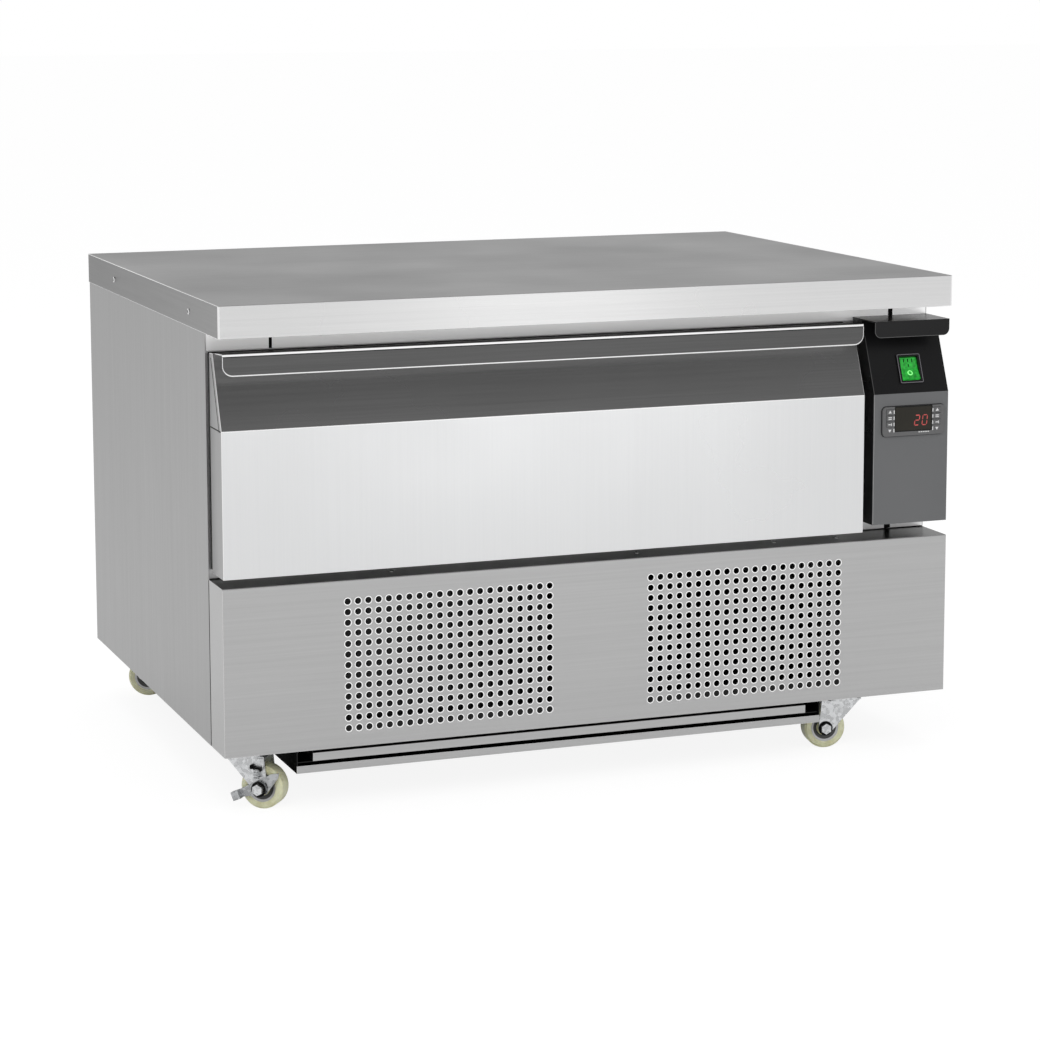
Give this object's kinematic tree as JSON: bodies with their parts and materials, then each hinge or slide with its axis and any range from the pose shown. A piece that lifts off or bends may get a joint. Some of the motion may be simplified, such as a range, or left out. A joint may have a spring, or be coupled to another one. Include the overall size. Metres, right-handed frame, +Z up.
{
  "type": "refrigerated drawer counter",
  "caption": "Low stainless refrigerated counter on castors: wide insulated drawer, control panel at the right, perforated machine cover below and a pull-out drip tray.",
  "frame": {"origin": "centre of the footprint on the floor", "axes": "+X to the right along the front, +Y from the front to the back, +Z up"},
  "size_m": [0.9032, 0.65, 0.573],
  "materials": {
    "stainless_sheet": "brushed",
    "galvanised_sheet": "satin",
    "board": "matte",
    "foam": "matte",
    "black_moulding": "satin",
    "grey_plate": "satin",
    "display_glass": "gloss",
    "rocker_green": "gloss",
    "key_plastic": "satin",
    "rubber_black": "matte",
    "screw_steel": "satin",
    "slide_steel": "satin",
    "zinc_steel": "satin",
    "nylon_cream": "satin",
    "coil_aluminium": "satin",
    "motor_black": "satin",
    "fan_black": "satin",
    "copper": "satin"
  },
  "bodies": {
    "cabinet": {"worktop_skin": "stainless_sheet", "worktop_core": "board", "panel_screws": "screw_steel", "left_side_panel": "stainless_sheet", "right_side_panel": "stainless_sheet", "back_panel": "galvanised_sheet", "cable_bush": "rubber_black", "front_frame": "stainless_sheet", "cabinet_liner": "stainless_sheet", "cabinet_insulation": "foam", "machine_deck": "galvanised_sheet", "lower_front_panel": "stainless_sheet", "base_pan": "galvanised_sheet", "tray_carrier": "galvanised_sheet", "slide_outer_members": "slide_steel", "control_housing": "black_moulding", "control_front_plate": "grey_plate", "switch_bezel": "black_moulding", "controller_housing": "black_moulding", "display_window": "display_glass", "condenser_coil": "coil_aluminium", "condenser_shroud": "galvanised_sheet", "condenser_fan_motor": "motor_black", "compressor": "motor_black", "compressor_feet": "rubber_black", "filter_drier": "copper", "copper_pipes": "copper", "suction_line": "rubber_black", "electrical_box": "galvanised_sheet", "evaporator_cover": "stainless_sheet", "evaporator_coil": "coil_aluminium", "evaporator_fan_motor": "motor_black", "castor_plates": "zinc_steel"},
    "drawer": {"drawer_front_skin": "stainless_sheet", "drawer_front_core": "foam", "drawer_front_liner": "stainless_sheet", "drawer_gasket": "rubber_black", "drawer_box": "stainless_sheet", "slide_inner_members": "slide_steel"},
    "slide_left": {"slide_middle_left": "slide_steel"},
    "slide_right": {"slide_middle_right": "slide_steel"},
    "tray": {"drip_tray": "stainless_sheet"},
    "rocker": {"switch_rocker": "rocker_green"},
    "condenser_fan": {"condenser_fan_blade": "fan_black"},
    "evaporator_fan": {"evaporator_fan_blade": "fan_black"},
    "key_left_1": {"key_left_1": "key_plastic"},
    "key_left_2": {"key_left_2": "key_plastic"},
    "key_left_3": {"key_left_3": "key_plastic"},
    "key_right_1": {"key_right_1": "key_plastic"},
    "key_right_2": {"key_right_2": "key_plastic"},
    "key_right_3": {"key_right_3": "key_plastic"},
    "fork_front_left": {"castor_fork_front_left": "zinc_steel"},
    "wheel_front_left": {"castor_wheel_front_left": "nylon_cream"},
    "fork_front_right": {"castor_fork_front_right": "zinc_steel"},
    "wheel_front_right": {"castor_wheel_front_right": "nylon_cream"},
    "fork_back_left": {"castor_fork_back_left": "zinc_steel"},
    "wheel_back_left": {"castor_wheel_back_left": "nylon_cream"},
    "fork_back_right": {"castor_fork_back_right": "zinc_steel"},
    "wheel_back_right": {"castor_wheel_back_right": "nylon_cream"},
    "brake": {"castor_brake_front_left": "zinc_steel"}
  },
  "joints": [
    {"name": "drawer_slide", "type": "slide", "parent": "cabinet", "child": "drawer", "axis": [0, -1, 0], "range_m": [0, 0.5]},
    {"name": "slide_left_travel", "type": "slide", "parent": "cabinet", "child": "slide_left", "axis": [0, -1, 0], "range_m": [0, 0.25]},
    {"name": "slide_right_travel", "type": "slide", "parent": "cabinet", "child": "slide_right", "axis": [0, -1, 0], "range_m": [0, 0.25]},
    {"name": "tray_slide", "type": "slide", "parent": "cabinet", "child": "tray", "axis": [0, -1, 0], "range_m": [0, 0.35]},
    {"name": "rocker_tilt", "type": "hinge", "parent": "cabinet", "child": "rocker", "pos_m": [0.4017, -0.30723, 0.46001], "axis": [1, 0, 0], "range_deg": [0, 14]},
    {"name": "key_left_1_press", "type": "slide", "parent": "cabinet", "child": "key_left_1", "axis": [0, 1, 0], "range_m": [0, 0.0006], "stiffness_N_per_m": 300},
    {"name": "key_left_2_press", "type": "slide", "parent": "cabinet", "child": "key_left_2", "axis": [0, 1, 0], "range_m": [0, 0.0006], "stiffness_N_per_m": 300},
    {"name": "key_left_3_press", "type": "slide", "parent": "cabinet", "child": "key_left_3", "axis": [0, 1, 0], "range_m": [0, 0.0006], "stiffness_N_per_m": 300},
    {"name": "key_right_1_press", "type": "slide", "parent": "cabinet", "child": "key_right_1", "axis": [0, 1, 0], "range_m": [0, 0.0006], "stiffness_N_per_m": 300},
    {"name": "key_right_2_press", "type": "slide", "parent": "cabinet", "child": "key_right_2", "axis": [0, 1, 0], "range_m": [0, 0.0006], "stiffness_N_per_m": 300},
    {"name": "key_right_3_press", "type": "slide", "parent": "cabinet", "child": "key_right_3", "axis": [0, 1, 0], "range_m": [0, 0.0006], "stiffness_N_per_m": 300},
    {"name": "condenser_fan_spin", "type": "hinge", "parent": "cabinet", "child": "condenser_fan", "pos_m": [-0.184, -0.223, 0.1595], "axis": [0, 1, 0], "continuous": true},
    {"name": "evaporator_fan_spin", "type": "hinge", "parent": "cabinet", "child": "evaporator_fan", "pos_m": [0.317, -0.125, 0.433], "axis": [1, 0, 0], "continuous": true},
    {"name": "castor_swivel_front_left", "type": "hinge", "parent": "cabinet", "child": "fork_front_left", "pos_m": [-0.409, -0.28, 0.061], "axis": [0, 0, 1], "continuous": true},
    {"name": "castor_roll_front_left", "type": "hinge", "parent": "fork_front_left", "child": "wheel_front_left", "pos_m": [-0.39482, -0.29108, 0.025], "axis": [0.6157, 0.788, 0], "continuous": true},
    {"name": "castor_swivel_front_right", "type": "hinge", "parent": "cabinet", "child": "fork_front_right", "pos_m": [0.327, -0.28, 0.061], "axis": [0, 0, 1], "continuous": true},
    {"name": "castor_roll_front_right", "type": "hinge", "parent": "fork_front_right", "child": "wheel_front_right", "pos_m": [0.30933, -0.27657, 0.025], "axis": [-0.1908, -0.9816, 0], "continuous": true},
    {"name": "castor_swivel_back_left", "type": "hinge", "parent": "cabinet", "child": "fork_back_left", "pos_m": [-0.409, 0.28, 0.061], "axis": [0, 0, 1], "continuous": true},
    {"name": "castor_roll_back_left", "type": "hinge", "parent": "fork_back_left", "child": "wheel_back_left", "pos_m": [-0.39269, 0.27239, 0.025], "axis": [0.4226, 0.9063, 0], "continuous": true},
    {"name": "castor_swivel_back_right", "type": "hinge", "parent": "cabinet", "child": "fork_back_right", "pos_m": [0.327, 0.28, 0.061], "axis": [0, 0, 1], "continuous": true},
    {"name": "castor_roll_back_right", "type": "hinge", "parent": "fork_back_right", "child": "wheel_back_right", "pos_m": [0.31009, 0.27384, 0.025], "axis": [0.342, -0.9397, 0], "continuous": true},
    {"name": "brake_press", "type": "hinge", "parent": "fork_front_left", "child": "brake", "pos_m": [-0.39482, -0.29108, 0.025], "axis": [-0.6157, -0.788, 0], "range_deg": [0, 15]}
  ],
  "couplings": [
    {"joint": "slide_left_travel", "follows": "drawer_slide", "ratio": 0.5},
    {"joint": "slide_right_travel", "follows": "drawer_slide", "ratio": 0.5}
  ]
}
